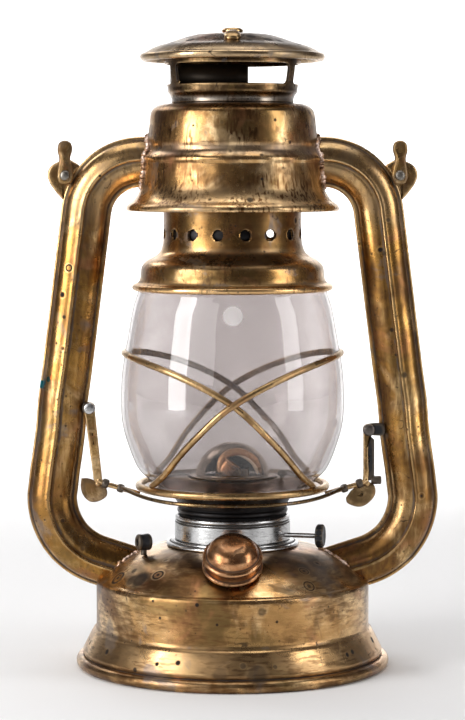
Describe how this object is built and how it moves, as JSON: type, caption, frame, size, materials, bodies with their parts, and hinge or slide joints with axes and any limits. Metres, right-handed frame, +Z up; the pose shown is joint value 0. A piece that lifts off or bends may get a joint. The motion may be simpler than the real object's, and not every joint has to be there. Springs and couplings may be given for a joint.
{
  "type": "tubular oil lantern",
  "caption": "Tubular oil lantern in aged brass with a flared foot, bulging glass globe, crossed wire guards, side air tubes and a domed vent canopy.",
  "frame": {"origin": "centre of the ring on which the foot stands, at the foot's bottom", "axes": "+Z up, -Y towards the viewer of the picture, where the filler cap is, and +X to that viewer's right"},
  "size_m": [0.206, 0.1572, 0.3193],
  "materials": {
    "aged_brass": "aged, rubbed bright on the ridges and dark brown in the hollows",
    "dark_brass": "dark patina",
    "aged_copper": "aged copper, rubbed on the crown",
    "steel": "bright brushed steel, lightly stained",
    "dark_steel": "heat-darkened sheet steel",
    "black_metal": "worn satin black",
    "clear_glass": "clear, faintly smoky",
    "rubber": "matt black",
    "cotton": "woven cotton"
  },
  "bodies": {
    "frame": {"fount_body": "aged_brass", "fount_bottom": "aged_brass", "filler_neck": "aged_brass", "burner_collar": "steel", "burner_drum": "steel", "burner_deck": "dark_steel", "burner_throat": "dark_steel", "burner_base": "steel", "burner_pan": "dark_steel", "burner_dome": "dark_steel", "wick_tube": "aged_brass", "flame_cowl": "aged_copper", "breather": "black_metal", "hood": "aged_brass", "left_air_tube": "aged_brass", "right_air_tube": "aged_brass", "left_bail_ear": "aged_brass", "right_bail_ear": "aged_brass", "left_ear_rivet": "steel", "right_ear_rivet": "steel", "left_lever_bracket": "dark_brass", "left_lever_screw": "steel", "right_lever_bracket": "dark_brass", "right_lever_screw": "steel", "bell_spring": "steel"},
    "filler_seal": {"filler_gasket": "rubber"},
    "filler_cap_body": {"filler_cap": "aged_copper"},
    "wick_raiser": {"wick_spindle": "steel", "wick_knob": "black_metal"},
    "wick_strip": {"wick": "cotton"},
    "left_lug": {"left_bail_lug": "aged_brass"},
    "right_lug": {"right_bail_lug": "aged_brass"},
    "carriage": {"globe_plate": "dark_brass", "guard_ring": "aged_brass", "left_guard_hoop": "aged_brass", "right_guard_hoop": "aged_brass", "stirrup_wire": "dark_brass", "globe": "clear_glass"},
    "left_lever": {"left_lift_lever": "aged_brass", "left_outer_bead": "black_metal", "left_inner_bead": "black_metal", "left_paddle": "aged_brass"},
    "right_lever": {"right_lift_lever": "aged_brass", "right_outer_bead": "black_metal", "right_inner_bead": "black_metal", "right_paddle": "aged_brass"},
    "chimney": {"bell": "aged_brass", "flue": "dark_steel", "vent_collar": "dark_brass", "draft_baffle": "black_metal", "canopy": "dark_brass", "lift_knob": "dark_brass"}
  },
  "joints": [
    {"name": "cap_travel", "type": "slide", "parent": "frame", "child": "filler_seal", "axis": [0, -0.5592, 0.829], "range_m": [0, 0.0055]},
    {"name": "cap_turn", "type": "hinge", "parent": "filler_seal", "child": "filler_cap_body", "pos_m": [0, -0.052, 0.057], "axis": [0, -0.5592, 0.829], "range_deg": [0, 1000]},
    {"name": "wick_knob_turn", "type": "hinge", "parent": "frame", "child": "wick_raiser", "pos_m": [-0.00125, -0.00587, 0.067], "axis": [0.9781, -0.2079, 0], "range_deg": [-74, 51]},
    {"name": "wick_travel", "type": "slide", "parent": "frame", "child": "wick_strip", "axis": [0, 0, 1], "range_m": [-0.0061, 0.0041]},
    {"name": "left_lug_swing", "type": "hinge", "parent": "frame", "child": "left_lug", "pos_m": [-0.0832, -0.0032, 0.246], "axis": [0, 1, 0], "range_deg": [-110, 35]},
    {"name": "right_lug_swing", "type": "hinge", "parent": "frame", "child": "right_lug", "pos_m": [0.0832, -0.0032, 0.246], "axis": [0, 1, 0], "range_deg": [-35, 110]},
    {"name": "globe_lift", "type": "slide", "parent": "frame", "child": "carriage", "axis": [0, 0, 1], "range_m": [0, 0.0089], "deforming": ["bell_spring"]},
    {"name": "left_lever_swing", "type": "hinge", "parent": "frame", "child": "left_lever", "pos_m": [-0.0716, -0.0051, 0.1298], "axis": [0, -1, 0], "range_deg": [0, 16.1]},
    {"name": "right_lever_swing", "type": "hinge", "parent": "frame", "child": "right_lever", "pos_m": [0.0682, -0.0051, 0.119], "axis": [0, 1, 0], "range_deg": [0, 19.3]},
    {"name": "chimney_lift", "type": "slide", "parent": "carriage", "child": "chimney", "axis": [0, 0, 1], "range_m": [0, 0.01], "stiffness_N_per_m": 100, "springref_m": -0.01, "deforming": ["bell_spring"]}
  ],
  "couplings": [
    {"joint": "cap_turn", "follows": "cap_travel", "rad_per_m": 3141.6},
    {"joint": "wick_knob_turn", "follows": "wick_travel", "rad_per_m": 204.08},
    {"joint": "left_lever_swing", "follows": "globe_lift", "rad_per_m": 31.38},
    {"joint": "right_lever_swing", "follows": "globe_lift", "rad_per_m": 37.65}
  ]
}
